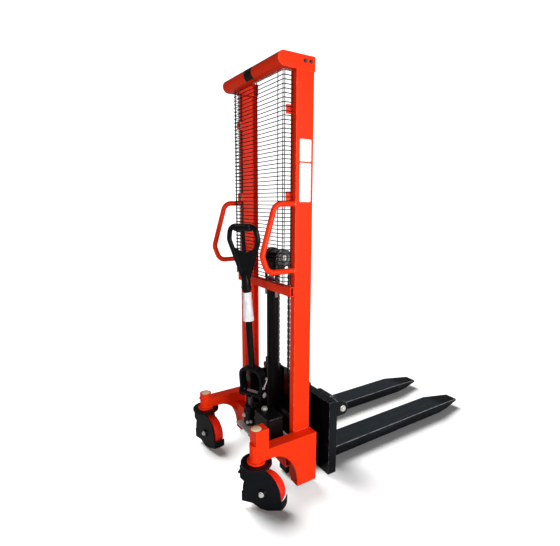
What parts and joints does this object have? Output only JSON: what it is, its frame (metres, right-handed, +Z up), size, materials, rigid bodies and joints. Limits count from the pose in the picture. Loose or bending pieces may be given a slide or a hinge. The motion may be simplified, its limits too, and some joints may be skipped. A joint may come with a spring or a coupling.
{
  "type": "hand pallet stacker",
  "caption": "Walk-behind stacker: a channel mast on straddle legs and swivel casters, with a chain-lifted fork carriage that a hand tiller pumps up.",
  "frame": {"origin": "on the floor, under the middle of the machine's overall box at rest", "axes": "+X forward along the forks, +Y to the left, +Z up"},
  "size_m": [1.671, 0.8128, 1.985],
  "materials": {
    "frame_paint": "orange-red gloss powder coat",
    "black_paint": "black gloss paint",
    "bare_steel": "bright machined steel",
    "rod_chrome": "hard chrome",
    "black_plastic": "black moulded plastic",
    "cream_plastic": "cream moulded cap",
    "wheel_tread": "orange-red polyurethane",
    "chain_steel": "oiled leaf chain",
    "zinc_plate": "zinc plate",
    "nylon": "nylon",
    "mesh_paint": "black coated wire",
    "hub_iron": "black painted casting"
  },
  "bodies": {
    "chassis": {"mast_post_left": "frame_paint", "mast_post_right": "frame_paint", "top_beam": "frame_paint", "top_end_plates": "frame_paint", "frame_bolts": "bare_steel", "mid_beam": "frame_paint", "chain_anchor_bolts": "bare_steel", "mesh_guard": "mesh_paint", "grab_handle_left": "frame_paint", "grab_handle_right": "frame_paint", "base_arm_left": "frame_paint", "base_arm_right": "frame_paint", "caster_caps": "cream_plastic", "base_cross_beam": "frame_paint", "leg_left": "black_paint", "leg_right": "black_paint", "leg_axles": "bare_steel", "mast_foot_plate": "frame_paint", "cylinder_barrel": "black_paint", "cylinder_gland": "bare_steel", "chain_rear_runs": "chain_steel", "pump_plate": "zinc_plate", "pump_body": "black_paint", "oil_tank": "black_paint", "hydraulic_pipe": "zinc_plate"},
    "lift_rod": {"piston_rod": "rod_chrome", "sheave_yoke": "black_paint", "sheave_axle": "bare_steel", "chain_wraps": "chain_steel", "chain_front_runs": "chain_steel"},
    "sheave_left": {"sheave_left": "black_paint"},
    "sheave_right": {"sheave_right": "black_paint"},
    "carriage": {"carriage_plate": "black_paint", "carriage_frame": "black_paint", "fork_shaft": "bare_steel"},
    "fork_left": {"fork_left": "black_paint"},
    "fork_right": {"fork_right": "black_paint"},
    "leg_roller_left": {"leg_roller_left": "nylon"},
    "leg_roller_right": {"leg_roller_right": "nylon"},
    "tiller_head": {"tiller_head": "black_paint", "pivot_pin": "bare_steel"},
    "tiller": {"tiller_yoke": "black_paint", "tiller_tube": "black_paint", "tiller_loop": "black_plastic"},
    "control_lever": {"control_lever": "black_plastic"},
    "plunger": {"pump_plunger": "rod_chrome"},
    "carriage_roller_low_left": {"carriage_roller_low_left": "bare_steel"},
    "carriage_roller_high_left": {"carriage_roller_high_left": "bare_steel"},
    "caster_left": {"caster_yoke_left": "black_paint", "caster_guard_left": "black_plastic"},
    "wheel_left": {"caster_tyre_left": "wheel_tread", "caster_hub_left": "hub_iron"},
    "brake_left": {"brake_pedal_left": "black_plastic"},
    "carriage_roller_low_right": {"carriage_roller_low_right": "bare_steel"},
    "carriage_roller_high_right": {"carriage_roller_high_right": "bare_steel"},
    "caster_right": {"caster_yoke_right": "black_paint", "caster_guard_right": "black_plastic"},
    "wheel_right": {"caster_tyre_right": "wheel_tread", "caster_hub_right": "hub_iron"},
    "brake_right": {"brake_pedal_right": "black_plastic"}
  },
  "joints": [
    {"name": "rod_slide", "type": "slide", "parent": "chassis", "child": "lift_rod", "axis": [0, 0, 1], "range_m": [0, 0.7515], "deforming": ["chain_rear_runs"]},
    {"name": "carriage_slide", "type": "slide", "parent": "lift_rod", "child": "carriage", "axis": [0, 0, 1], "range_m": [0, 0.7515], "deforming": ["chain_front_runs"]},
    {"name": "sheave_left_spin", "type": "hinge", "parent": "lift_rod", "child": "sheave_left", "pos_m": [-0.4675, 0.07382, 1.095], "axis": [0, -1, 0], "range_deg": [0, 1134]},
    {"name": "carriage_roller_low_left_spin", "type": "hinge", "parent": "carriage", "child": "carriage_roller_low_left", "pos_m": [-0.496, 0.26982, 0.139], "axis": [0, 1, 0], "continuous": true},
    {"name": "carriage_roller_high_left_spin", "type": "hinge", "parent": "carriage", "child": "carriage_roller_high_left", "pos_m": [-0.496, 0.26982, 0.367], "axis": [0, 1, 0], "continuous": true},
    {"name": "fork_left_slide", "type": "slide", "parent": "carriage", "child": "fork_left", "axis": [0, 1, 0], "range_m": [-0.02, 0.02]},
    {"name": "leg_roller_left_spin", "type": "hinge", "parent": "chassis", "child": "leg_roller_left", "pos_m": [0.5625, 0.19882, 0.0275], "axis": [0, 1, 0], "continuous": true},
    {"name": "caster_left_swivel", "type": "hinge", "parent": "chassis", "child": "caster_left", "pos_m": [-0.7645, 0.31982, 0.215], "axis": [0, 0, 1], "continuous": true},
    {"name": "wheel_left_spin", "type": "hinge", "parent": "caster_left", "child": "wheel_left", "pos_m": [-0.75669, 0.2755, 0.09], "axis": [0.9848, 0.1736, 0], "continuous": true},
    {"name": "brake_left_press", "type": "hinge", "parent": "caster_left", "child": "brake_left", "pos_m": [-0.7704, 0.3533, 0.181], "axis": [-0.9848, -0.1736, 0], "range_deg": [0, 12], "stiffness_Nm_per_rad": 2, "springref_deg": -8.59},
    {"name": "sheave_right_spin", "type": "hinge", "parent": "lift_rod", "child": "sheave_right", "pos_m": [-0.4675, -0.02618, 1.095], "axis": [0, -1, 0], "range_deg": [0, 1134]},
    {"name": "carriage_roller_low_right_spin", "type": "hinge", "parent": "carriage", "child": "carriage_roller_low_right", "pos_m": [-0.496, -0.22218, 0.139], "axis": [0, 1, 0], "continuous": true},
    {"name": "carriage_roller_high_right_spin", "type": "hinge", "parent": "carriage", "child": "carriage_roller_high_right", "pos_m": [-0.496, -0.22218, 0.367], "axis": [0, 1, 0], "continuous": true},
    {"name": "fork_right_slide", "type": "slide", "parent": "carriage", "child": "fork_right", "axis": [0, 1, 0], "range_m": [-0.02, 0.02]},
    {"name": "leg_roller_right_spin", "type": "hinge", "parent": "chassis", "child": "leg_roller_right", "pos_m": [0.5625, -0.15118, 0.0275], "axis": [0, 1, 0], "continuous": true},
    {"name": "caster_right_swivel", "type": "hinge", "parent": "chassis", "child": "caster_right", "pos_m": [-0.7645, -0.27218, 0.215], "axis": [0, 0, 1], "continuous": true},
    {"name": "wheel_right_spin", "type": "hinge", "parent": "caster_right", "child": "wheel_right", "pos_m": [-0.73869, -0.30904, 0.09], "axis": [0.8192, 0.5736, 0], "continuous": true},
    {"name": "brake_right_press", "type": "hinge", "parent": "caster_right", "child": "brake_right", "pos_m": [-0.784, -0.24433, 0.181], "axis": [-0.8192, -0.5736, 0], "range_deg": [0, 12], "stiffness_Nm_per_rad": 2, "springref_deg": -8.59},
    {"name": "tiller_swivel", "type": "hinge", "parent": "chassis", "child": "tiller_head", "pos_m": [-0.6325, 0.02382, 0.3], "axis": [0, 0, 1], "range_deg": [-50, 0]},
    {"name": "tiller_pump", "type": "hinge", "parent": "tiller_head", "child": "tiller", "pos_m": [-0.60984, 0.03439, 0.385], "axis": [0.4226, -0.9063, 0], "range_deg": [0, 60], "stiffness_Nm_per_rad": 30, "springref_deg": -11.46},
    {"name": "plunger_slide", "type": "slide", "parent": "chassis", "child": "plunger", "axis": [0, 0, -1], "range_m": [0, 0.02638]},
    {"name": "control_lever_turn", "type": "hinge", "parent": "tiller", "child": "control_lever", "pos_m": [-0.66948, 0.00658, 1.13713], "axis": [0.4226, -0.9063, 0], "range_deg": [-12, 12], "stiffness_Nm_per_rad": 0.8}
  ],
  "couplings": [
    {"joint": "carriage_slide", "follows": "rod_slide", "ratio": 1},
    {"joint": "sheave_left_spin", "follows": "rod_slide", "rad_per_m": 26.316},
    {"joint": "sheave_right_spin", "follows": "rod_slide", "rad_per_m": 26.316},
    {"joint": "plunger_slide", "follows": "tiller_pump", "m_per_rad": 0.025}
  ]
}
